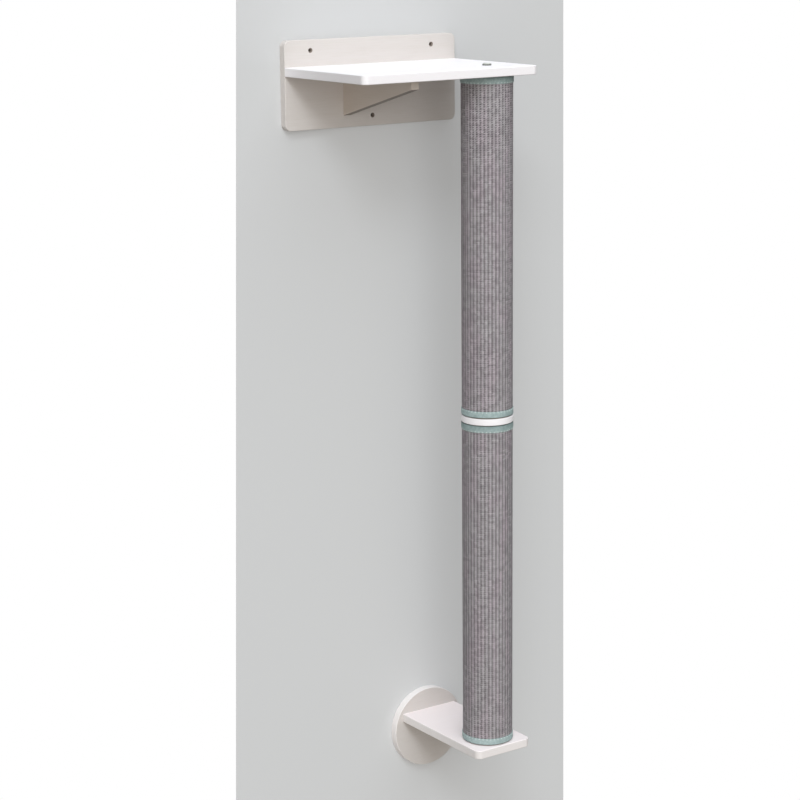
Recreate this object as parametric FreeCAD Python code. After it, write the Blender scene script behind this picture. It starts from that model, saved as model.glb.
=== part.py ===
# A cat climbing post that hangs on a wall: a shelf on a long wall plate at the top, a fabric-covered
# post in two sections below it, and an arm on a round wall disc that carries the foot of the post.
# Millimetres. The origin is the middle of the top plate's back face, on the wall. X runs along the
# wall to the right, Y into the wall, Z up.
import FreeCAD, Part
import math
import os

V = FreeCAD.Vector
ALONG_WALL = V(1, 0, 0)
INTO_WALL = V(0, 1, 0)
OUT_OF_WALL = V(0, -1, 0)
UP = V(0, 0, 1)
DOWN = V(0, 0, -1)

# Boards
board_thickness = 17.0
edge_round = 1.5
cut_overrun = 1.0
on_plane = 0.001
parallel_share = 0.999

# Top wall plate and its three holes for the wall screws
plate_width = 396.0
plate_height = 170.0
plate_corner = 12.0
wall_hole_spacing = 280.0
wall_hole_inset = 20.0
wall_hole_radius = 2.75
wall_sink_radius = 4.75
wall_sink_depth = 3.0

# Shelf and the brace under it
shelf_drop = 50.0
shelf_depth = 268.0
shelf_corner = 12.0
brace_offset = 58.5
brace_depth = 228.0
brace_wall_height = 80.0
brace_nose_height = 18.0

# Post: where it stands under the shelf, and its two equal sections
post_from_end = 75.0
post_from_front = 63.0
section_length = 657.0
fabric_radius = 50.0
fabric_thickness = 2.7
tube_wall = 5.0
plug_thickness = 22.0
joint_thickness = 13.0

# Tape that binds the fabric at both ends of a section
tape_width = 14.0
tape_thickness = 0.7
tape_end_gap = 0.5
soft_gap = 0.3

# Threaded fastenings
thread_radius = 4.0
thread_clearance = 0.1
bolt_clearance = 0.3
bolt_grip = 16.0
bolt_head_radius = 8.5
bolt_head_height = 4.6
bolt_head_round = 2.6
socket_width = 5.0
socket_depth = 2.0
insert_radius = 6.0
insert_length = 18.0
insert_clearance = 0.1
plug_clearance = 0.2
stud_grip = 15.0

# Arm and round disc at the foot
arm_width = 132.0
arm_beyond_post = 56.0
arm_corner = 12.0
disc_radius = 84.0
disc_drop = 41.0

# Countersunk wood screws, driven from the wall side
screw_radius = 2.0
screw_length = 48.0
screw_point = 6.0
screw_point_share = 0.2
screw_head_radius = 4.0
screw_head_height = 2.4
screw_clearance = 0.1
cross_length = 4.0
cross_width = 0.9
cross_depth = 1.6
shelf_screw_shares = (-0.38, -0.14, 0.14, 0.38)
brace_screw_shares = (0.2, 0.72)
arm_screw_shares = (-0.34, 0.34)

# Wooden dowels
dowel_radius = 4.0
dowel_length = 30.0
dowel_in_board = 11.0
dowel_bevel = 0.8
dowel_clearance = 0.1
dowel_end_gap = 0.4
shelf_dowel_shares = (-0.26, 0.26)
brace_back_dowel_share = 0.46
brace_top_dowel_shares = (0.3, 0.7)
arm_dowel_shares = (-0.16, 0.16)

# Keyhole hanger let into the back of the disc
hanger_drop = 15.0
hanger_width = 24.0
hanger_height = 46.0
hanger_corner = 4.0
hanger_thickness = 1.6
hanger_clearance = 0.2
hanger_screw_spacing = 34.0
hanger_screw_radius = 1.5
hanger_screw_length = 12.0
hanger_screw_head_radius = 2.8
hanger_screw_head_height = 1.4
hanger_screw_clearance = 0.1
hanger_cross_length = 2.6
hanger_cross_width = 0.6
hanger_cross_depth = 0.9
key_entry_radius = 5.0
key_slot_radius = 2.5
key_travel = 11.0
key_space_radius = 6.5
key_space_depth = 6.0

# Places that follow from the sizes
plate_front = -board_thickness
plate_top = plate_height / 2
shelf_top = plate_top - shelf_drop
shelf_bottom = shelf_top - board_thickness
shelf_front = plate_front - shelf_depth
shelf_middle = shelf_top - board_thickness / 2
post_x = plate_width / 2 - post_from_end
post_y = shelf_front + post_from_front
joint_top = shelf_bottom - section_length
joint_bottom = joint_top - joint_thickness
arm_top = joint_bottom - section_length
arm_bottom = arm_top - board_thickness
arm_middle = arm_top - board_thickness / 2
arm_front = post_y - arm_beyond_post
disc_front = -board_thickness
disc_z = arm_top - disc_drop
hanger_z = disc_z - hanger_drop
tube_radius = fabric_radius - fabric_thickness - soft_gap
tape_radius = fabric_radius + soft_gap + tape_thickness
fabric_end_gap = tape_end_gap + tape_thickness + soft_gap


def box(corner, size):
    """A box from its lowest corner and its three sizes."""
    return Part.makeBox(size.x, size.y, size.z, corner)


def rod(radius, length, start, along):
    return Part.makeCylinder(radius, length, start, along)


def cone(start_radius, end_radius, length, start, along):
    return Part.makeCone(start_radius, end_radius, length, start, along)


def ring(outer_radius, inner_radius, length, start):
    """A ring standing on its lower face, centred on the start point."""
    hole = rod(inner_radius, length + 2 * cut_overrun, start + DOWN * cut_overrun, UP)
    return rod(outer_radius, length, start, UP).cut(hole)


def is_along(edge, direction):
    middle = (edge.FirstParameter + edge.LastParameter) / 2
    return abs(edge.tangentAt(middle).dot(direction)) > parallel_share


def lies_on(edge, seats):
    """Whether the edge lies in one of the planes, each given by its normal and its offset."""
    for normal, offset in seats:
        if all(abs(corner.Point.dot(normal) - offset) < on_plane for corner in edge.Vertexes):
            return True
    return False


def rounded_corners(board, across, radius, seats):
    """The board with its free corners rounded, seen along the direction across it."""
    corners = [edge for edge in board.Edges if is_along(edge, across) and not lies_on(edge, seats)]
    return board.makeFillet(radius, corners)


def softened(board, across, seats):
    """The board with the edges of its faces eased, all but those that lie against another board."""
    rims = [edge for edge in board.Edges if not is_along(edge, across) and not lies_on(edge, seats)]
    return board.makeFillet(edge_round, rims)


def cross_recess(start, along, side, length, width, depth):
    """The cross-shaped recess of a screw head, sunk along the screw from its outer face."""
    other = along.cross(side)
    arms = []
    for first, second in ((side, other), (other, side)):
        corner = start - first * (length / 2) - second * (width / 2) - along * cut_overrun
        reach = first * length + second * width + along * (depth + cut_overrun)
        low = V(*(min(a, a + b) for a, b in zip(corner, reach)))
        arms.append(box(low, V(*(abs(component) for component in reach))))
    return arms[0].fuse(arms[1])


def screw_body(start, along, grown):
    """A countersunk wood screw from the face of its head, grown all round to make its hole."""
    head = cone(screw_head_radius + grown, screw_radius + grown, screw_head_height, start, along)
    shank = rod(screw_radius + grown, screw_length - screw_point + grown, start, along)
    point_start = start + along * (screw_length - screw_point + grown)
    tip_radius = screw_radius * screw_point_share + grown
    point = cone(screw_radius + grown, tip_radius, screw_point, point_start, along)
    return head.fuse([shank, point])


def wood_screw(start, along, side):
    recess = cross_recess(start, along, side, cross_length, cross_width, cross_depth)
    return screw_body(start, along, 0).cut(recess).removeSplitter()


def screw_hole(start, along):
    """The hole of a wood screw, open at the face that its head is driven into."""
    mouth = rod(screw_head_radius + screw_clearance, cut_overrun, start - along * cut_overrun, along)
    return screw_body(start, along, screw_clearance).fuse(mouth)


def dowel(start, along):
    pin = rod(dowel_radius, dowel_length, start, along)
    rims = [edge for edge in pin.Edges if not is_along(edge, along)]
    return pin.makeChamfer(dowel_bevel, rims)


def dowel_hole(start, along):
    length = dowel_length + 2 * dowel_end_gap
    return rod(dowel_radius + dowel_clearance, length, start - along * dowel_end_gap, along)


def hexagon(width, length, start, along):
    """A hexagonal prism of the given width across its flats."""
    corner_radius = width / math.sqrt(3)
    turns = [2 * math.pi * side / 6 for side in range(7)]
    points = [start + V(math.cos(turn), math.sin(turn), 0) * corner_radius for turn in turns]
    face = Part.Face(Part.makePolygon(points))
    return face.extrude(along * length)


def round_head_bolt(seat, along):
    """A bolt with a wide rounded head, from the face that the head rests on."""
    head = rod(bolt_head_radius, bolt_head_height, seat - along * bolt_head_height, along)
    head_face = (seat - along * bolt_head_height).dot(UP)
    rims = [edge for edge in head.Edges if not is_along(edge, UP) and lies_on(edge, [(UP, head_face)])]
    head = head.makeFillet(bolt_head_round, rims)
    socket_start = seat - along * (bolt_head_height + cut_overrun)
    socket = hexagon(socket_width, socket_depth + cut_overrun, socket_start, along)
    shank = rod(thread_radius, board_thickness + bolt_grip, seat, along)
    return head.fuse(shank).cut(socket).removeSplitter()


def bolt_hole(start, length):
    return rod(thread_radius + bolt_clearance, length + 2 * cut_overrun, start + DOWN * cut_overrun, UP)


def shelf_screw_places():
    return [V(share * plate_width, 0, shelf_middle) for share in shelf_screw_shares]


def brace_screw_places():
    return [V(-brace_offset, 0, shelf_bottom - share * brace_wall_height) for share in brace_screw_shares]


def arm_screw_places():
    return [V(post_x + share * arm_width, 0, arm_middle) for share in arm_screw_shares]


def shelf_dowel_places():
    start = plate_front + dowel_in_board
    return [V(share * plate_width, start, shelf_middle) for share in shelf_dowel_shares]


def arm_dowel_places():
    start = disc_front + dowel_in_board
    return [V(post_x + share * arm_width, start, arm_middle) for share in arm_dowel_shares]


def brace_back_dowel_place():
    z = shelf_bottom - brace_back_dowel_share * brace_wall_height
    return V(-brace_offset, plate_front + dowel_in_board, z)


def brace_top_dowel_places():
    top = shelf_bottom + dowel_in_board
    return [V(-brace_offset, plate_front - share * brace_depth, top) for share in brace_top_dowel_shares]


def wall_hole_places():
    """The two upper wall holes and the lower one, at the front face of the plate."""
    upper = plate_top - wall_hole_inset
    half = wall_hole_spacing / 2
    return [V(-half, plate_front, upper), V(half, plate_front, upper), V(0, plate_front, -upper)]


def wall_hole(place):
    through_start = place + OUT_OF_WALL * cut_overrun
    through = rod(wall_hole_radius, board_thickness + 2 * cut_overrun, through_start, INTO_WALL)
    sink = cone(wall_sink_radius, wall_hole_radius, wall_sink_depth, place, INTO_WALL)
    mouth = rod(wall_sink_radius, cut_overrun, through_start, INTO_WALL)
    return through.fuse([sink, mouth])


def make_wall_plate():
    corner = V(-plate_width / 2, plate_front, -plate_height / 2)
    plate = box(corner, V(plate_width, board_thickness, plate_height))
    plate = softened(rounded_corners(plate, INTO_WALL, plate_corner, []), INTO_WALL, [])
    plate = plate.cut([wall_hole(place) for place in wall_hole_places()])
    screw_places = shelf_screw_places() + brace_screw_places()
    plate = plate.cut([screw_hole(place, OUT_OF_WALL) for place in screw_places])
    dowel_places = shelf_dowel_places() + [brace_back_dowel_place()]
    return plate.cut([dowel_hole(place, OUT_OF_WALL) for place in dowel_places])


def make_shelf_board():
    corner = V(-plate_width / 2, shelf_front, shelf_bottom)
    seats = [(INTO_WALL, plate_front)]
    shelf = box(corner, V(plate_width, shelf_depth, board_thickness))
    shelf = softened(rounded_corners(shelf, UP, shelf_corner, seats), UP, seats)
    shelf = shelf.cut(bolt_hole(V(post_x, post_y, shelf_bottom), board_thickness))
    shelf = shelf.cut([screw_hole(place, OUT_OF_WALL) for place in shelf_screw_places()])
    shelf = shelf.cut([dowel_hole(place, OUT_OF_WALL) for place in shelf_dowel_places()])
    return shelf.cut([dowel_hole(place, DOWN) for place in brace_top_dowel_places()])


def make_shelf_brace():
    left = -brace_offset - board_thickness / 2
    nose = plate_front - brace_depth
    outline = [
        V(left, plate_front, shelf_bottom),
        V(left, nose, shelf_bottom),
        V(left, nose, shelf_bottom - brace_nose_height),
        V(left, plate_front, shelf_bottom - brace_wall_height),
    ]
    brace = Part.Face(Part.makePolygon(outline + outline[:1])).extrude(ALONG_WALL * board_thickness)
    brace = softened(brace, ALONG_WALL, [(INTO_WALL, plate_front), (UP, shelf_bottom)])
    brace = brace.cut([screw_hole(place, OUT_OF_WALL) for place in brace_screw_places()])
    brace = brace.cut(dowel_hole(brace_back_dowel_place(), OUT_OF_WALL))
    return brace.cut([dowel_hole(place, DOWN) for place in brace_top_dowel_places()])


def make_arm_board():
    corner = V(post_x - arm_width / 2, arm_front, arm_bottom)
    seats = [(INTO_WALL, disc_front)]
    arm = box(corner, V(arm_width, disc_front - arm_front, board_thickness))
    arm = softened(rounded_corners(arm, UP, arm_corner, seats), UP, seats)
    arm = arm.cut(bolt_hole(V(post_x, post_y, arm_bottom), board_thickness))
    arm = arm.cut([screw_hole(place, OUT_OF_WALL) for place in arm_screw_places()])
    return arm.cut([dowel_hole(place, OUT_OF_WALL) for place in arm_dowel_places()])


def hanger_screw_places():
    half = hanger_screw_spacing / 2
    return [V(post_x, 0, hanger_z - half), V(post_x, 0, hanger_z + half)]


def hanger_screw_body(start, grown):
    head_radius = hanger_screw_head_radius + grown
    radius = hanger_screw_radius + grown
    head = cone(head_radius, radius, hanger_screw_head_height, start, OUT_OF_WALL)
    shank = rod(radius, hanger_screw_length + grown, start, OUT_OF_WALL)
    return head.fuse(shank)


def hanger_screw_hole(place):
    radius = hanger_screw_head_radius + hanger_screw_clearance
    mouth = rod(radius, cut_overrun, place + INTO_WALL * cut_overrun, OUT_OF_WALL)
    return hanger_screw_body(place, hanger_screw_clearance).fuse(mouth)


def hanger_screw(place):
    recess = cross_recess(
        place, OUT_OF_WALL, ALONG_WALL, hanger_cross_length, hanger_cross_width, hanger_cross_depth)
    return hanger_screw_body(place, 0).cut(recess).removeSplitter()


def hanger_blank(grown, depth):
    """The outline of the hanger let into the back of the disc, grown all round for its pocket."""
    width = hanger_width + 2 * grown
    height = hanger_height + 2 * grown
    blank = box(V(post_x - width / 2, -depth, hanger_z - height / 2), V(width, depth, height))
    return rounded_corners(blank, INTO_WALL, hanger_corner + grown, [])


def slot(radius, travel, depth, place):
    """An upright slot sunk into the disc from the wall side, its lower end round the place."""
    start = place + INTO_WALL * cut_overrun
    length = depth + cut_overrun
    low = rod(radius, length, start, OUT_OF_WALL)
    high = rod(radius, length, start + UP * travel, OUT_OF_WALL)
    middle = box(V(place.x - radius, -depth, place.z), V(2 * radius, length, travel))
    return low.fuse([high, middle])


def key_place():
    return V(post_x, 0, hanger_z - key_travel / 2)


def make_hanger_plate():
    """A flat steel plate with a keyhole: a round way in for a screw head and a narrow slot above it."""
    depth = hanger_thickness + cut_overrun
    plate = hanger_blank(0, hanger_thickness)
    entry_start = key_place() + INTO_WALL * cut_overrun
    plate = plate.cut(rod(key_entry_radius, depth + cut_overrun, entry_start, OUT_OF_WALL))
    plate = plate.cut(slot(key_slot_radius, key_travel, depth, key_place()))
    return plate.cut([hanger_screw_hole(place) for place in hanger_screw_places()])


def make_wall_disc():
    disc = softened(rod(disc_radius, board_thickness, V(post_x, 0, disc_z), OUT_OF_WALL), INTO_WALL, [])
    disc = disc.cut([screw_hole(place, OUT_OF_WALL) for place in arm_screw_places()])
    disc = disc.cut([dowel_hole(place, OUT_OF_WALL) for place in arm_dowel_places()])
    disc = disc.cut([hanger_screw_hole(place) for place in hanger_screw_places()])
    disc = disc.cut(hanger_blank(hanger_clearance, hanger_thickness))
    return disc.cut(slot(key_space_radius, key_travel, key_space_depth, key_place()))


def make_tube(bottom):
    return ring(tube_radius, tube_radius - tube_wall, section_length, V(post_x, post_y, bottom))


def make_plug(bottom):
    radius = tube_radius - tube_wall - plug_clearance
    return ring(radius, insert_radius + insert_clearance, plug_thickness, V(post_x, post_y, bottom))


def make_insert(bottom):
    return ring(insert_radius, thread_radius + thread_clearance, insert_length, V(post_x, post_y, bottom))


def make_sleeve(bottom):
    start = V(post_x, post_y, bottom + fabric_end_gap)
    return ring(fabric_radius, tube_radius + soft_gap, section_length - 2 * fabric_end_gap, start)


def make_binding(bottom, lip_at_bottom):
    """A band of tape round the end of the fabric, folded over its cut edge."""
    band = ring(tape_radius, tape_radius - tape_thickness, tape_width, V(post_x, post_y, bottom))
    lip_bottom = bottom if lip_at_bottom else bottom + tape_width - tape_thickness
    lip = ring(tape_radius, tube_radius + soft_gap, tape_thickness, V(post_x, post_y, lip_bottom))
    return band.fuse(lip).removeSplitter()


def make_section(name, bottom):
    """The pieces of one section of the post, by node name."""
    top = bottom + section_length
    return {
        name + "_tube": make_tube(bottom),
        name + "_top_plug": make_plug(top - plug_thickness),
        name + "_bottom_plug": make_plug(bottom),
        name + "_top_insert": make_insert(top - insert_length),
        name + "_bottom_insert": make_insert(bottom),
        name + "_sleeve": make_sleeve(bottom),
        name + "_top_binding": make_binding(top - tape_end_gap - tape_width, False),
        name + "_bottom_binding": make_binding(bottom + tape_end_gap, True),
    }


def make_joint_disc():
    disc = softened(rod(tape_radius, joint_thickness, V(post_x, post_y, joint_bottom), UP), UP, [])
    return disc.cut(bolt_hole(V(post_x, post_y, joint_bottom), joint_thickness))


def make_joint_stud():
    start = V(post_x, post_y, joint_bottom - stud_grip)
    return rod(thread_radius, joint_thickness + 2 * stud_grip, start, UP)


def all_nodes():
    """Every piece by node name, the like pieces of one node as a list."""
    nodes = {
        "wall_plate": make_wall_plate(),
        "shelf_board": make_shelf_board(),
        "shelf_brace": make_shelf_brace(),
        "shelf_screws": [wood_screw(place, OUT_OF_WALL, ALONG_WALL) for place in shelf_screw_places()],
        "shelf_dowels": [dowel(place, OUT_OF_WALL) for place in shelf_dowel_places()],
        "brace_screws": [wood_screw(place, OUT_OF_WALL, ALONG_WALL) for place in brace_screw_places()],
        "brace_back_dowel": dowel(brace_back_dowel_place(), OUT_OF_WALL),
        "brace_top_dowels": [dowel(place, DOWN) for place in brace_top_dowel_places()],
        "top_bolt": round_head_bolt(V(post_x, post_y, shelf_top), DOWN),
        "joint_disc": make_joint_disc(),
        "joint_stud": make_joint_stud(),
        "arm_board": make_arm_board(),
        "wall_disc": make_wall_disc(),
        "arm_screws": [wood_screw(place, OUT_OF_WALL, ALONG_WALL) for place in arm_screw_places()],
        "arm_dowels": [dowel(place, OUT_OF_WALL) for place in arm_dowel_places()],
        "bottom_bolt": round_head_bolt(V(post_x, post_y, arm_bottom), UP),
        "hanger_plate": make_hanger_plate(),
        "hanger_screws": [hanger_screw(place) for place in hanger_screw_places()],
    }
    nodes.update(make_section("upper", joint_top))
    nodes.update(make_section("lower", arm_top))
    return nodes


os.makedirs("parts", exist_ok=True)
for node, shape in all_nodes().items():
    if isinstance(shape, list):
        shape = Part.makeCompound(shape)
    shape.exportStep("parts/" + node + ".step")
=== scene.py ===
import bmesh
import bpy
import math
import random
from mathutils import Matrix, Vector


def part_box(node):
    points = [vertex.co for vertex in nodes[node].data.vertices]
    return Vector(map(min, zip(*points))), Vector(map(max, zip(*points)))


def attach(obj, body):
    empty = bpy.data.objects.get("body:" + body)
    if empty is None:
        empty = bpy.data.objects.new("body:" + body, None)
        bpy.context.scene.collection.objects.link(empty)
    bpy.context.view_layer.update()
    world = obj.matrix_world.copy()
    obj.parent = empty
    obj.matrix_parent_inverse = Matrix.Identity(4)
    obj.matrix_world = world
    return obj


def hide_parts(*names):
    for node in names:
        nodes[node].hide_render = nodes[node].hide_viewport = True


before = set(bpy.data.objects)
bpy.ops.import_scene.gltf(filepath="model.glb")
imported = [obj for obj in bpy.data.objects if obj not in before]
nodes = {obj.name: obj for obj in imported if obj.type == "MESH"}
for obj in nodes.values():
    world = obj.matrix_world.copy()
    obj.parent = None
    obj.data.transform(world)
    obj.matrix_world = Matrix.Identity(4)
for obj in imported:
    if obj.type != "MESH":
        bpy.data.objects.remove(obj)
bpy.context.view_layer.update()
MILLI = 0.001
TURN = 2 * math.pi

# The post's upright axis
DISC_LOW, DISC_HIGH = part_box("joint_disc")
POST_X = (DISC_LOW.x + DISC_HIGH.x) / 2
POST_Y = (DISC_LOW.y + DISC_HIGH.y) / 2

# Camera: where it stands in front of the wall, and the photo's size in pixels
CAMERA_PLACE = Vector((-2.3673, -3.5349, 0.3226))
CAMERA_YAW = math.radians(34.58)
CAMERA_PITCH = math.radians(12.69)
CAMERA_ROLL = math.radians(-0.58)
PHOTO_SIZE = 800
FOCAL_PIXELS = 2176.67
SENSOR = 36.0

# The wall shows between these two columns of the picture
WALL_LEFT_COLUMN = 236
WALL_RIGHT_COLUMN = 563.3
WALL_OVERRUN_ROWS = 400
WALL_BEHIND = 0.4 * MILLI
WALL_CONTACT = 1.2 * MILLI

# Painted light on the wall: its colour is a little paler low down, and part of what the camera sees of it
# is an even grey glow
PALER_BELOW = -1.6
DARKER_ABOVE = 0.2
EVEN_SHARE = 0.32

# Lamps, placed from the middle of the post, and the glow of the room by direction and colour
LAMP_TARGET = Vector((0.05, -0.15, -0.35))
COOL = (0.95, 1.0, 1.045)
LAMPS = (
    ("overhead", "SUN", (0.0, -0.75, 2.9), {"angle": math.radians(70), "energy": 1.9}),
    ("key", "AREA", (-4.4, -5.3, 5.78), {"shape": "DISK", "size": 2.5, "energy": 231.0}),
    ("window", "AREA", (-2.84, -7.85, 3.37), {"shape": "DISK", "size": 4.5, "energy": 188.0}),
    ("behind", "AREA", (1.5, 7.5, 3.0), {"shape": "DISK", "size": 4.0, "energy": 420.0}),
)
ROOM_GLOWS = (
    ((-1.0, 0.0, 0.0), (0.04, 0.04, 0.04)),
    ((0.70, -0.70, 0.0), (0.12, 0.12, 0.12)),
    ((-0.48, -0.88, 0.0), (1.36, 1.30, 1.19)),
)

# Wall plate: its holes' places from its long edges and its middle, and how far bare wood, darkened as
# painted shade, shows in them
HOLE_INSET = 20 * MILLI
HOLE_REACH = 140 * MILLI
HOLE_RADIUS = 4.9 * MILLI
HOLE_FADE = 0.4 * MILLI

# Brace: height of its nose, and how far the painted shade along its lower edge reaches
BRACE_NOSE = 18 * MILLI
LOWER_EDGE_SHADE = 0.6 * MILLI

# How far the painted highlight reaches in from the wall disc's outline, and the painted light down from
# the arm's top
RIM_HIGHLIGHT_REACH = 1.2 * MILLI
TOP_LIGHT_REACH = 0.6 * MILLI

# The wood's grain is drawn out along the axis that has the small number
GRAIN_ALONG_WALL = (0.06, 1.0, 1.0)
GRAIN_FROM_WALL = (1.0, 0.06, 1.0)
BARE_WOOD_GRAIN = (1.0, 0.08, 1.0)

# Bolt heads: the middle that keeps a lighter steel grey; round it the head is painted dark as painted
# shade
UNSHADED_RADIUS = 7.9 * MILLI
SHADE_RING_FADE = 0.8 * MILLI

# Ribbed fabric of the post
RIBS = 42
SAMPLES_PER_RIB = 4
BEAD_PITCH = 4.3 * MILLI
SAMPLES_PER_BEAD = 3
BEAD_WANDER = 0.22
RIB_DEPTH = 1.5 * MILLI
BEAD_DEPTH = 0.3 * MILLI
PRESSED_DEPTH = 0.5 * MILLI
PRESSED_REACH = 2 * MILLI
PRESSED_RIBS = 0.15
BEADS_IN_RELIEF = 0.3
TONE_LOST_ON_RIB = 0.6
SEAM_ANGLE = TURN / 4
SEAM_GAP = 0.5 * MILLI

# Tape round the ends of the fabric
TAPE_SAMPLES_PER_RIB = 6
TAPE_HEM_ROUND = 0.7 * MILLI
TAPE_END_ROUND = 1.5 * MILLI
TAPE_LIFT_OVER_BOARD = 1.2 * MILLI
TAPE_LIFT_UNDER_BOARD = 0.4 * MILLI
TAPE_ROUND_STEPS = 4
BOARD_SHADE_OVER = 1.5 * MILLI
BOARD_SHADE_UNDER = 2.6 * MILLI
TAPE_TUCK = 2.8 * MILLI
TAPE_DIP = 0.45 * MILLI
TAPE_DIP_REACH = 6 * MILLI
WEAVE_SLANT = 1.6
WEAVE_RADIANS_PER_METRE = 5200.0
STITCH_LENGTH = 3.0 * MILLI
STITCH_THICKNESS = 1.5 * MILLI
STITCH_INSET = 1.8 * MILLI
STITCH_SINK = 0.1 * MILLI
STITCH_LEAN = math.radians(8)
STITCH_SIDES = 6
STITCH_RINGS = 5


class Value:
    """The output of a shader node, with arithmetic that makes Math nodes."""

    def __init__(self, graph, socket):
        self.graph = graph
        self.socket = socket

    def __add__(self, other):
        return self.graph.math("ADD", self, other)

    def __radd__(self, other):
        return self.graph.math("ADD", other, self)

    def __sub__(self, other):
        return self.graph.math("SUBTRACT", self, other)

    def __rsub__(self, other):
        return self.graph.math("SUBTRACT", other, self)

    def __mul__(self, other):
        return self.graph.math("MULTIPLY", self, other)

    def __rmul__(self, other):
        return self.graph.math("MULTIPLY", other, self)

    def __pow__(self, other):
        return self.graph.math("POWER", self, other)


class Graph:
    """The nodes of one material or world."""

    def __init__(self, owner):
        owner.use_nodes = True
        self.tree = owner.node_tree
        self.tree.nodes.clear()

    def node(self, kind, settings, inputs, output=0):
        """A node with its settings and its inputs, by name or by number, and one of its outputs."""
        made = self.tree.nodes.new(kind)
        for key, value in settings.items():
            setattr(made, key, value)
        for key, value in inputs.items():
            if isinstance(value, Value):
                self.tree.links.new(value.socket, made.inputs[key])
            else:
                made.inputs[key].default_value = value
        return Value(self, made.outputs[output]) if made.outputs else None

    def math(self, operation, *values):
        return self.node("ShaderNodeMath", {"operation": operation}, dict(enumerate(values)))

    def vector_math(self, operation, *values, output=0):
        settings = {"operation": operation}
        return self.node("ShaderNodeVectorMath", settings, dict(enumerate(values)), output)

    def mix(self, share, first, second):
        """A colour between two others."""
        return self.node("ShaderNodeMix", {"data_type": "RGBA"}, {0: share, 6: first, 7: second}, 2)

    def place(self):
        return self.node("ShaderNodeTexCoord", {}, {}, "Object")

    def part(self, vector, axis):
        return self.node("ShaderNodeSeparateXYZ", {}, {0: vector}, axis)

    def attribute(self, name):
        return self.node("ShaderNodeAttribute", {"attribute_name": name}, {}, "Fac")

    def noise(self, vector, scale, detail):
        return self.node("ShaderNodeTexNoise", {}, {"Vector": vector, "Scale": scale, "Detail": detail})

    def ramp(self, value, low, high):
        """A smooth step from 0 at the low value to 1 at the high one."""
        inputs = {"Value": value, "From Min": low, "From Max": high}
        return self.node("ShaderNodeMapRange", {"interpolation_type": "SMOOTHSTEP"}, inputs)

    def bump(self, height, distance, strength):
        inputs = {"Height": height, "Distance": distance, "Strength": strength}
        return self.node("ShaderNodeBump", {}, inputs)

    def surface(self, **inputs):
        """A Principled surface as the output. An underscore stands for a space in a socket's name."""
        named = {key.replace("_", " "): value for key, value in inputs.items()}
        shader = self.node("ShaderNodeBsdfPrincipled", {}, named)
        self.node("ShaderNodeOutputMaterial", {}, {"Surface": shader})


def rgb(red, green, blue):
    return (red, green, blue, 1.0)


def new_material(name):
    material = bpy.data.materials.new(name)
    return material, Graph(material)


# Stains of the boards: the plain wood, its streaks and its clouds
WHITE_STAIN = rgb(0.945, 0.915, 0.930), rgb(0.925, 0.882, 0.890), rgb(0.940, 0.905, 0.925)
CREAM_STAIN = rgb(0.855, 0.810, 0.795), rgb(0.795, 0.735, 0.705), rgb(0.835, 0.780, 0.775)
PALE_STAIN = rgb(0.652, 0.611, 0.586), rgb(0.586, 0.540, 0.496), rgb(0.632, 0.587, 0.564)
# The brace's stain is warmer than the pale one as painted shade, standing in for the warm shade under the
# shelf
BRACE_STAIN_WARM_SHADE = rgb(0.650, 0.580, 0.520), rgb(0.584, 0.512, 0.440), rgb(0.630, 0.557, 0.500)

# Painted light on the arm's top, paler than its stain: the plain wood and its streaks
TOP_PAINTED_LIGHT = rgb(0.945, 0.862, 0.858), rgb(0.925, 0.832, 0.822)


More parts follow.
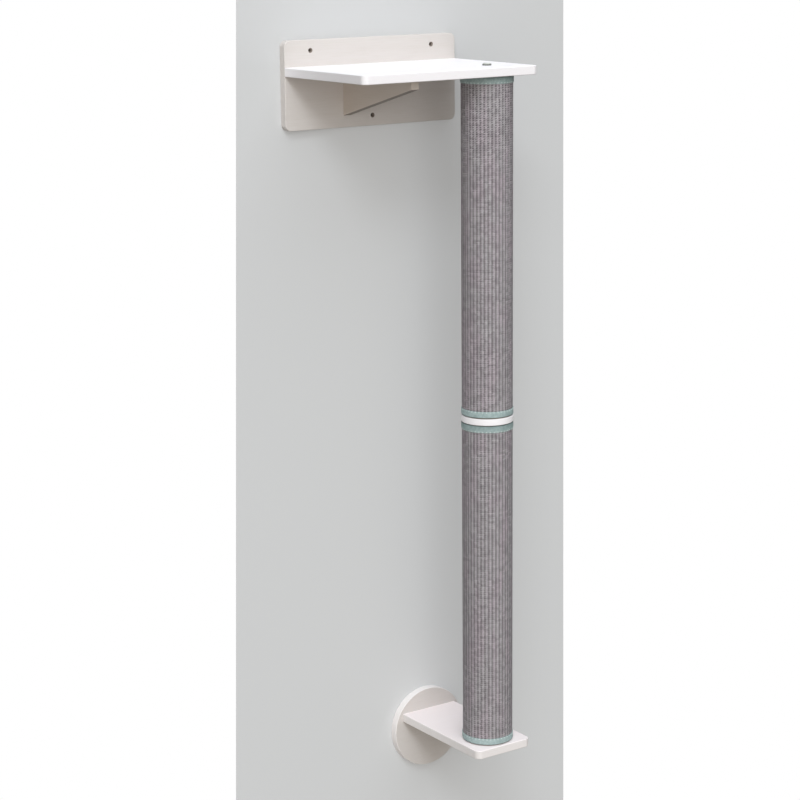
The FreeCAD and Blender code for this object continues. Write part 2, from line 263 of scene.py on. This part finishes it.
def stained_wood(name, stain, grain, holes=(), slope=None, rim=None, top=None):
    """White-stained pine. Bare wood, darkened as painted shade, shows in the holes, given by their axes'
    x and z and their radius, and painted shade darkens a sloping lower edge, given by a y, its z there
    and its rise in z for each step in y. A painted highlight pales a disc's rim, given as a hole is, and
    painted light pales a top face, given by its z."""
    plain, streak, cloud = stain
    material, graph = new_material(name)
    place = graph.place()
    along = graph.vector_math("MULTIPLY", place, grain)
    waver = graph.noise(along, 14.0, 2.0)
    bands = graph.noise(along, 55.0, 3.0)
    lines = graph.noise(along, 420.0, 4.0)
    pores = graph.ramp(graph.noise(along, 1300.0, 2.0), 0.60, 0.74)
    shade = graph.ramp(lines, 0.42, 0.75) * 0.55 + graph.ramp(bands, 0.35, 0.75) * 0.45
    streaks = shade * 0.55
    colour = graph.mix(streaks, plain, streak)
    colour = graph.mix(graph.ramp(waver, 0.35, 0.7) * 0.35, colour, cloud)
    colour = graph.mix(pores * 0.22, colour, rgb(0.66, 0.59, 0.54))
    # Bare wood darkened as painted shade, for the holes and the brace's lower edge
    bare_in_shade = graph.mix(lines, rgb(0.16, 0.135, 0.115), rgb(0.30, 0.25, 0.215))
    flat = graph.vector_math("MULTIPLY", place, (1.0, 0.0, 1.0))
    for x, z, radius in holes:
        away = graph.vector_math("DISTANCE", flat, (x, 0.0, z), output=1)
        inside = 1.0 - graph.ramp(away, radius - HOLE_FADE, radius)
        colour = graph.mix(inside, colour, bare_in_shade)
    # Painted highlight: a paler band just inside the disc's rim
    if rim:
        x, z, radius = rim
        away = graph.vector_math("DISTANCE", flat, (x, 0.0, z), output=1)
        on_rim = graph.ramp(away, radius - RIM_HIGHLIGHT_REACH, radius - RIM_HIGHLIGHT_REACH / 2)
        colour = graph.mix(on_rim, colour, CREAM_STAIN[0])
    # Painted light: the top face paler than the board's stain
    if top is not None:
        on_top = graph.ramp(graph.part(place, "Z"), top - TOP_LIGHT_REACH, top - TOP_LIGHT_REACH / 2)
        colour = graph.mix(on_top, colour, graph.mix(streaks, *TOP_PAINTED_LIGHT))
    # Painted shade along the brace's sloping lower edge
    if slope:
        start, height, rise = slope
        above = graph.part(place, "Z") - height - (graph.part(place, "Y") - start) * rise
        colour = graph.mix(1.0 - graph.ramp(above, LOWER_EDGE_SHADE / 2, LOWER_EDGE_SHADE), colour, bare_in_shade)
    relief = lines * 0.6 + bands * 0.4
    graph.surface(
        Base_Color=colour,
        Roughness=0.50 + shade * 0.16,
        Specular_IOR_Level=0.35,
        Normal=graph.bump(relief, 0.25 * MILLI, 0.35),
    )
    return material


def bare_wood(name, light, dark):
    """Untreated wood for the plugs and dowels."""
    material, graph = new_material(name)
    along = graph.vector_math("MULTIPLY", graph.place(), BARE_WOOD_GRAIN)
    lines = graph.noise(along, 500.0, 4.0)
    bands = graph.noise(along, 60.0, 2.0)
    colour = graph.mix(graph.ramp(lines * 0.6 + bands * 0.4, 0.35, 0.65), light, dark)
    graph.surface(
        Base_Color=colour,
        Roughness=0.6 + lines * 0.2,
        Normal=graph.bump(lines, 0.2 * MILLI, 0.5),
    )
    return material


def cardboard(name):
    """Brown wound board, fibrous and a little cloudy."""
    material, graph = new_material(name)
    place = graph.place()
    fibres = graph.noise(place, 700.0, 4.0)
    clouds = graph.noise(place, 40.0, 2.0)
    colour = graph.mix(fibres * 0.6 + clouds * 0.4, rgb(0.33, 0.235, 0.15), rgb(0.43, 0.32, 0.215))
    graph.surface(
        Base_Color=colour,
        Roughness=0.82 + clouds * 0.1,
        Normal=graph.bump(fibres, 0.15 * MILLI, 0.5),
    )
    return material


def plated_steel(name):
    """Zinc-plated steel: cloudy crystals, fine scratches and a little dulling."""
    material, graph = new_material(name)
    place = graph.place()
    clouds = graph.noise(place, 260.0, 3.0)
    scratches = graph.noise(graph.vector_math("MULTIPLY", place, (1.0, 8.0, 8.0)), 900.0, 2.0)
    colour = graph.mix(clouds, rgb(0.40, 0.41, 0.41), rgb(0.60, 0.61, 0.60))
    graph.surface(
        Base_Color=colour,
        Metallic=1.0,
        Roughness=0.26 + clouds * 0.18 + scratches * 0.08,
        Normal=graph.bump(scratches, 0.03 * MILLI, 0.4),
    )
    return material


def bolt_steel_shaded_rim(name):
    """Steel of the bolts, painted dark as painted shade round the lighter grey middle of the head."""
    material, graph = new_material(name)
    place = graph.place()
    off_axis = graph.vector_math("SUBTRACT", place, (POST_X, POST_Y, 0.0))
    level = graph.vector_math("MULTIPLY", off_axis, (1.0, 1.0, 0.0))
    away = graph.vector_math("LENGTH", level, output=1)
    clouds = graph.noise(place, 500.0, 3.0)
    edge = away + (clouds - 0.5) * SHADE_RING_FADE
    # Painted shade: the head dark outside its lighter middle
    unshaded = 1.0 - graph.ramp(edge, UNSHADED_RADIUS, UNSHADED_RADIUS + SHADE_RING_FADE)
    graph.surface(
        Base_Color=graph.mix(unshaded, rgb(0.095, 0.098, 0.092), rgb(0.52, 0.53, 0.49)),
        Metallic=0.3,
        Roughness=0.55 + clouds * 0.15,
        Normal=graph.bump(clouds, 0.03 * MILLI, 0.4),
    )
    return material


def ribbed_fabric(name):
    """Grey cord fabric, painted darker into the grooves as painted shade. The mesh carries how high each
    point lies on its rib and how dark it is there.
    """
    material, graph = new_material(name)
    place = graph.place()
    relief = graph.attribute("relief")
    tone = graph.attribute("tone")
    yarn = graph.noise(place, 1100.0, 3.0)
    flecks = graph.noise(place, 500.0, 2.0)
    patches = graph.noise(graph.vector_math("MULTIPLY", place, (1.0, 1.0, 0.3)), 45.0, 2.0)
    crest = graph.mix(graph.ramp(patches, 0.4, 0.7), rgb(0.476, 0.449, 0.463), rgb(0.501, 0.440, 0.474))
    # Painted shade: the colour darkens from the crests down into the grooves
    height = graph.ramp(relief + (flecks - 0.5) * 0.8, 0.15, 1.0)
    colour = graph.mix(height, rgb(0.082, 0.070, 0.078), crest)
    colour = graph.mix(graph.ramp(yarn, 0.5, 0.75) * height * 0.4, colour, rgb(0.74, 0.71, 0.73))
    colour = graph.mix(tone * 0.65, colour, rgb(0.085, 0.074, 0.081))
    graph.surface(
        Base_Color=colour,
        Roughness=0.86 + yarn * 0.1,
        Specular_IOR_Level=0.2,
        Normal=graph.bump(yarn * 0.7 + flecks * 0.3, 0.4 * MILLI, 0.6),
    )
    return material


def woven_tape(name, light, dark):
    """Grey-green tape with a fine diagonal weave, painted darker next to the board as painted shade,
    where the mesh marks it.
    """
    material, graph = new_material(name)
    board_shade = graph.attribute("board_shade")
    place = graph.place()
    x = graph.part(place, "X")
    y = graph.part(place, "Y")
    z = graph.part(place, "Z")
    cord = graph.math("SINE", (x - y + z * WEAVE_SLANT) * WEAVE_RADIANS_PER_METRE) * 0.5 + 0.5
    weft = graph.math("SINE", (x - y - z * WEAVE_SLANT) * WEAVE_RADIANS_PER_METRE) * 0.5 + 0.5
    fuzz = graph.noise(place, 900.0, 3.0)
    clouds = graph.noise(place, 160.0, 3.0)
    weave = cord * 0.4 + weft * 0.25 + fuzz * 0.35
    colour = graph.mix(graph.ramp(weave * 0.5 + clouds * 0.5, 0.3, 0.7), dark, light)
    # Painted shade next to the board at the tape's folded end
    colour = graph.mix(board_shade * 0.85, colour, rgb(0.05, 0.07, 0.065))
    graph.surface(
        Base_Color=colour,
        Roughness=0.84 + fuzz * 0.1,
        Specular_IOR_Level=0.2,
        Normal=graph.bump(weave, 0.18 * MILLI, 0.6),
    )
    return material


def make_camera():
    data = bpy.data.cameras.new("camera")
    data.sensor_fit = "HORIZONTAL"
    data.sensor_width = SENSOR
    data.lens = FOCAL_PIXELS / PHOTO_SIZE * SENSOR
    camera = bpy.data.objects.new("camera", data)
    turned = Matrix.Rotation(-CAMERA_YAW, 4, "Z") @ Matrix.Rotation(TURN / 4 - CAMERA_PITCH, 4, "X")
    camera.matrix_world = Matrix.Translation(CAMERA_PLACE) @ turned @ Matrix.Rotation(CAMERA_ROLL, 4, "Z")
    bpy.context.scene.collection.objects.link(camera)
    bpy.context.scene.camera = camera
    return camera


def point_on_wall(camera, column, row):
    """Where the wall shows at a place in the picture."""
    middle = PHOTO_SIZE / 2
    ray = camera.matrix_world.to_3x3() @ Vector((column - middle, middle - row, -FOCAL_PIXELS))
    reach = (WALL_BEHIND - CAMERA_PLACE.y) / ray.y
    return CAMERA_PLACE + ray * reach


def wall_paint():
    """Pale grey paint, paler low down as painted light, and in part seen as an even glowing grey that
    takes no shadow. A view from behind goes through the wall, and light from behind only where a board
    touches it, so that the boards' backs are lit."""
    material, graph = new_material("wall_paint")
    place = graph.place()
    height = graph.ramp(graph.part(place, "Z"), PALER_BELOW, DARKER_ABOVE)
    grain = graph.noise(place, 300.0, 3.0)
    # Painted light: the wall's colour paler low down
    colour = graph.mix(height, rgb(0.684, 0.689, 0.694), rgb(0.652, 0.657, 0.662))
    colour = graph.mix(grain * 0.04, colour, rgb(0.60, 0.615, 0.62))
    paint = graph.node(
        "ShaderNodeBsdfPrincipled",
        {},
        {"Base Color": colour, "Roughness": 0.9, "Specular IOR Level": 0.1},
    )
    # Painted light: an even glow the camera sees on the wall, lifting its shadows
    even = graph.node("ShaderNodeEmission", {}, {"Color": rgb(0.590, 0.590, 0.590)})
    clear = graph.node("ShaderNodeBsdfTransparent", {}, {})
    seen = graph.node("ShaderNodeLightPath", {}, {}, "Is Camera Ray")
    paint = graph.node("ShaderNodeMixShader", {}, {0: seen * EVEN_SHARE, 1: paint, 2: even})
    behind = graph.node("ShaderNodeNewGeometry", {}, {}, "Backfacing") * seen
    reach = graph.node("ShaderNodeLightPath", {}, {}, "Ray Length")
    open_to = graph.math("MAXIMUM", behind, graph.math("LESS_THAN", reach, WALL_CONTACT))
    shown = graph.node("ShaderNodeMixShader", {}, {0: open_to, 1: paint, 2: clear})
    graph.node("ShaderNodeOutputMaterial", {}, {"Surface": shown})
    return material


def make_wall(camera):
    top = -WALL_OVERRUN_ROWS
    bottom = PHOTO_SIZE + WALL_OVERRUN_ROWS
    places = (
        (WALL_LEFT_COLUMN, bottom),
        (WALL_RIGHT_COLUMN, bottom),
        (WALL_RIGHT_COLUMN, top),
        (WALL_LEFT_COLUMN, top),
    )
    mesh = bmesh.new()
    mesh.faces.new([mesh.verts.new(point_on_wall(camera, column, row)) for column, row in places])
    wall = finished(mesh, "wall", wall_paint())


def finished(mesh, name, material):
    """The object of a mesh, smooth and with its material."""
    data = bpy.data.meshes.new(name)
    mesh.to_mesh(data)
    mesh.free()
    data.shade_smooth()
    data.materials.append(material)
    piece = bpy.data.objects.new(name, data)
    bpy.context.scene.collection.objects.link(piece)
    return piece


def light_world():
    """White to the camera. For the object: a pale room in front of it and to its sides."""
    world = bpy.data.worlds.new("room")
    bpy.context.scene.world = world
    graph = Graph(world)
    way = graph.node("ShaderNodeTexCoord", {}, {}, "Generated")
    off_wall = graph.ramp(graph.part(way, "Y") * -1.0, -0.15, 0.15)
    glow = (0.0, 0.0, 0.0)
    for toward, tint in ROOM_GLOWS:
        facing = graph.math("MAXIMUM", graph.vector_math("DOT_PRODUCT", way, toward, output=1), 0.0)
        glow = graph.vector_math("MULTIPLY_ADD", facing ** 4.0 * off_wall, tint, glow)
    shown = 0.0
    for ray in ("Is Camera Ray", "Is Glossy Ray", "Is Transmission Ray"):
        shown = graph.math("MAXIMUM", shown, graph.node("ShaderNodeLightPath", {}, {}, ray))
    colour = graph.mix(shown, glow, rgb(1.0, 1.0, 1.0))
    background = graph.node("ShaderNodeBackground", {}, {"Color": colour})
    graph.node("ShaderNodeOutputWorld", {}, {"Surface": background})


def light_scene():
    light_world()
    for name, kind, toward, settings in LAMPS:
        data = bpy.data.lights.new(name, kind)
        data.color = COOL
        for key, value in settings.items():
            setattr(data, key, value)
        lamp = bpy.data.objects.new(name, data)
        lamp.location = LAMP_TARGET + Vector(toward)
        lamp.rotation_euler = Vector(toward).to_track_quat("Z", "Y").to_euler()
        bpy.context.scene.collection.objects.link(lamp)


def box_radius(node):
    low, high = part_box(node)
    return (high.x - low.x) / 2


def on_post(angle, radius, height):
    return Vector((POST_X + radius * math.cos(angle), POST_Y + radius * math.sin(angle), height))


def rib_height(angle):
    """0 in the groove between two ribs and 1 on a rib, at an angle round the post from the seam."""
    return 0.5 - 0.5 * math.cos(angle * RIBS)


def bead_height(height, offset):
    """0 between two beads of a rib and 1 on a bead, the offset given in beads."""
    return 0.5 + 0.5 * math.cos(TURN * (height / BEAD_PITCH + offset))


def make_sleeve(section, material):
    """One section's fabric: a flat strip wrapped round the tube, its edges meeting at the back."""
    node = section + "_sleeve"
    low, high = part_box(node)
    crest = box_radius(node)
    hem = (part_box(section + "_bottom_binding")[1].z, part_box(section + "_top_binding")[0].z)
    columns = RIBS * SAMPLES_PER_RIB
    rows = round((high.z - low.z) / BEAD_PITCH * SAMPLES_PER_BEAD)
    tones = random.Random(section)
    beads = math.ceil((high.z - low.z) / BEAD_PITCH) + 1
    bead_tones = [[tones.random() for _ in range(beads)] for _ in range(RIBS + 1)]
    offsets = [tones.uniform(-BEAD_WANDER, BEAD_WANDER) for _ in range(RIBS + 1)]
    mesh = bmesh.new()
    bmesh.ops.create_grid(mesh, x_segments=columns, y_segments=rows, size=0.5)
    relief = mesh.verts.layers.float.new("relief")
    tone = mesh.verts.layers.float.new("tone")
    wrap = TURN - SEAM_GAP / crest
    for vertex in mesh.verts:
        angle = (vertex.co.x + 0.5) * TURN
        height = low.z + (vertex.co.y + 0.5) * (high.z - low.z)
        inside = min(height - hem[0], hem[1] - height)
        free = min(max(0.5 + inside / PRESSED_REACH, 0.0), 1.0)
        number = int(angle * RIBS / TURN)
        rib = rib_height(angle)
        bead = bead_height(height, offsets[number])
        thread = bead_height(height, offsets[number] + 0.5)
        depth = (1 - rib) * (1 - thread) * RIB_DEPTH + rib * (1 - bead) * BEAD_DEPTH
        kept = PRESSED_RIBS + (1 - PRESSED_RIBS) * free
        radius = crest - PRESSED_DEPTH * (1 - free) - depth * kept
        on_rib = 1 - BEADS_IN_RELIEF * (1 - bead)
        vertex[relief] = rib * on_rib + (1 - rib) * thread
        bead_number = int((height - low.z) / BEAD_PITCH)
        vertex[tone] = bead_tones[number][bead_number] * (1 - TONE_LOST_ON_RIB * rib)
        vertex.co = on_post(SEAM_ANGLE + SEAM_GAP / crest / 2 + angle * wrap / TURN, radius, height)
    piece = finished(mesh, section + "_weave", material)
    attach(piece, "root")
    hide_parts(node)


def tape_edges(node, end_is_low):
    """Heights of the tape's hem and of its folded end, which stops a little short of the board."""
    low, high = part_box(node)
    if end_is_low:
        return high.z, low.z + TAPE_LIFT_OVER_BOARD
    return low.z, high.z - TAPE_LIFT_UNDER_BOARD


def tape_outline(node, end_is_low):
    """The tape's profile as radius and height: from its hem, over the outside, to its folded end."""
    outer = box_radius(node)
    hem, end = tape_edges(node, end_is_low)
    away = 1 if end_is_low else -1
    quarter = [TURN / 4 * step / TAPE_ROUND_STEPS for step in range(TAPE_ROUND_STEPS + 1)]
    over_hem = []
    over_end = []
    for turn in quarter:
        across = 1 - math.sin(turn)
        along = 1 - math.cos(turn)
        over_hem.append((outer - TAPE_HEM_ROUND * across, hem - away * TAPE_HEM_ROUND * along))
        over_end.append((outer - TAPE_END_ROUND * along, end + away * TAPE_END_ROUND * across))
    return over_hem + over_end + [(outer - TAPE_TUCK, end)]


def make_tape(node, end_is_low, material, thread):
    """The tape round one end of the fabric, dipped into the grooves at its hem, and its stitches."""
    hem, end = tape_edges(node, end_is_low)
    board_shade_reach = BOARD_SHADE_OVER if end_is_low else BOARD_SHADE_UNDER
    mesh = bmesh.new()
    board_shade = mesh.verts.layers.float.new("board_shade")
    profile = tape_outline(node, end_is_low)
    outline = [mesh.verts.new(on_post(SEAM_ANGLE, radius, height)) for radius, height in profile]
    edges = [mesh.edges.new(pair) for pair in zip(outline, outline[1:])]
    bmesh.ops.spin(
        mesh,
        geom=outline + edges,
        cent=(POST_X, POST_Y, 0),
        axis=(0, 0, 1),
        angle=TURN,
        steps=RIBS * TAPE_SAMPLES_PER_RIB,
        use_merge=True,
    )
    bmesh.ops.recalc_face_normals(mesh, faces=mesh.faces)
    for vertex in mesh.verts:
        angle = math.atan2(vertex.co.y - POST_Y, vertex.co.x - POST_X) - SEAM_ANGLE
        near_hem = max(0.0, 1 - abs(vertex.co.z - hem) / TAPE_DIP_REACH)
        # Painted shade: how close the point is to the tape's folded end by the board
        vertex[board_shade] = max(0.0, 1 - abs(vertex.co.z - end) / board_shade_reach)
        dip = TAPE_DIP * (1 - rib_height(angle)) * near_hem
        away = Vector((vertex.co.x - POST_X, vertex.co.y - POST_Y, 0))
        vertex.co -= away.normalized() * dip
    piece = finished(mesh, node.replace("binding", "tape"), material)
    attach(piece, "root")
    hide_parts(node)
    stitches = make_stitches(node, hem, end_is_low, thread)


def make_stitches(node, hem, end_is_low, thread):
    """A short stitch over the hem of a tape on every rib."""
    radius = box_radius(node) - STITCH_SINK
    height = hem + (-STITCH_INSET if end_is_low else STITCH_INSET)
    mesh = bmesh.new()
    lean = Matrix.Rotation(STITCH_LEAN, 4, "X")
    shape = Matrix.Diagonal((STITCH_THICKNESS / 2, STITCH_LENGTH / 2, STITCH_THICKNESS / 2, 1))
    for number in range(RIBS):
        angle = SEAM_ANGLE + TURN * (number + 0.5) / RIBS
        turned = Matrix.Translation(on_post(angle, radius, height)) @ Matrix.Rotation(angle, 4, "Z")
        placed = turned @ lean @ shape
        bmesh.ops.create_uvsphere(
            mesh,
            u_segments=STITCH_SIDES,
            v_segments=STITCH_RINGS,
            radius=1.0,
            matrix=placed,
        )
    piece = finished(mesh, node.replace("binding", "stitches"), thread)
    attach(piece, "root")
    return piece


def dress(node, material):
    """A CAD node keeps its shape and gets its material."""
    slots = nodes[node].data.materials
    slots.clear()
    slots.append(material)


def wall_holes():
    """The plate's three holes as x, z and radius, from the plate's own sides."""
    low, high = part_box("wall_plate")
    middle = (low.x + high.x) / 2
    upper = high.z - HOLE_INSET
    return (
        (middle - HOLE_REACH, upper, HOLE_RADIUS),
        (middle + HOLE_REACH, upper, HOLE_RADIUS),
        (middle, low.z + HOLE_INSET, HOLE_RADIUS),
    )


def brace_slope():
    """The brace's lower edge: its y and z at the wall, and its rise in z for each step in y."""
    low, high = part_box("shelf_brace")
    return high.y, low.z, (high.z - BRACE_NOSE - low.z) / (low.y - high.y)


def disc_rim():
    """The wall disc's axis as x and z, and its radius."""
    low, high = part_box("wall_disc")
    return (low.x + high.x) / 2, (low.z + high.z) / 2, (high.z - low.z) / 2


def dress_boards():
    grain = GRAIN_ALONG_WALL
    dress("wall_plate", stained_wood("plate_wood", PALE_STAIN, grain, holes=wall_holes()))
    dress("shelf_board", stained_wood("shelf_wood", WHITE_STAIN, grain))
    dress("shelf_brace", stained_wood("brace_wood", BRACE_STAIN_WARM_SHADE, GRAIN_FROM_WALL, slope=brace_slope()))
    dress("joint_disc", stained_wood("joint_wood", WHITE_STAIN, grain))
    dress("arm_board", stained_wood("arm_wood", CREAM_STAIN, grain, top=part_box("arm_board")[1].z))
    dress("wall_disc", stained_wood("disc_wood", PALE_STAIN, grain, rim=disc_rim()))


def dress_core_and_fittings():
    steel = plated_steel("zinc_steel")
    bolt_shaded_rim = bolt_steel_shaded_rim("bolt_shaded_rim")
    board = cardboard("cardboard")
    plug_wood = bare_wood("plug_wood", rgb(0.55, 0.38, 0.22), rgb(0.42, 0.27, 0.15))
    dowel_wood = bare_wood("dowel_wood", rgb(0.56, 0.38, 0.23), rgb(0.45, 0.29, 0.17))
    for name in nodes:
        if name.endswith("_tube"):
            dress(name, board)
        elif name.endswith("_plug"):
            dress(name, plug_wood)
        elif "dowel" in name:
            dress(name, dowel_wood)
        elif name.endswith("_bolt"):
            dress(name, bolt_shaded_rim)
        elif name.endswith(("_insert", "_screws", "_stud", "hanger_plate")):
            dress(name, steel)


def make_post():
    fabric = ribbed_fabric("ribbed_fabric")
    tape = woven_tape("tape_weave", rgb(0.460, 0.560, 0.560), rgb(0.275, 0.360, 0.355))
    thread = woven_tape("tape_thread", rgb(0.760, 0.800, 0.785), rgb(0.620, 0.680, 0.665))
    for section in ("upper", "lower"):
        make_sleeve(section, fabric)
        make_tape(section + "_top_binding", False, tape, thread)
        make_tape(section + "_bottom_binding", True, tape, thread)


view_camera = make_camera()
make_wall(view_camera)
light_scene()
dress_boards()
dress_core_and_fittings()
make_post()
bpy.context.scene.view_settings.view_transform = "Standard"
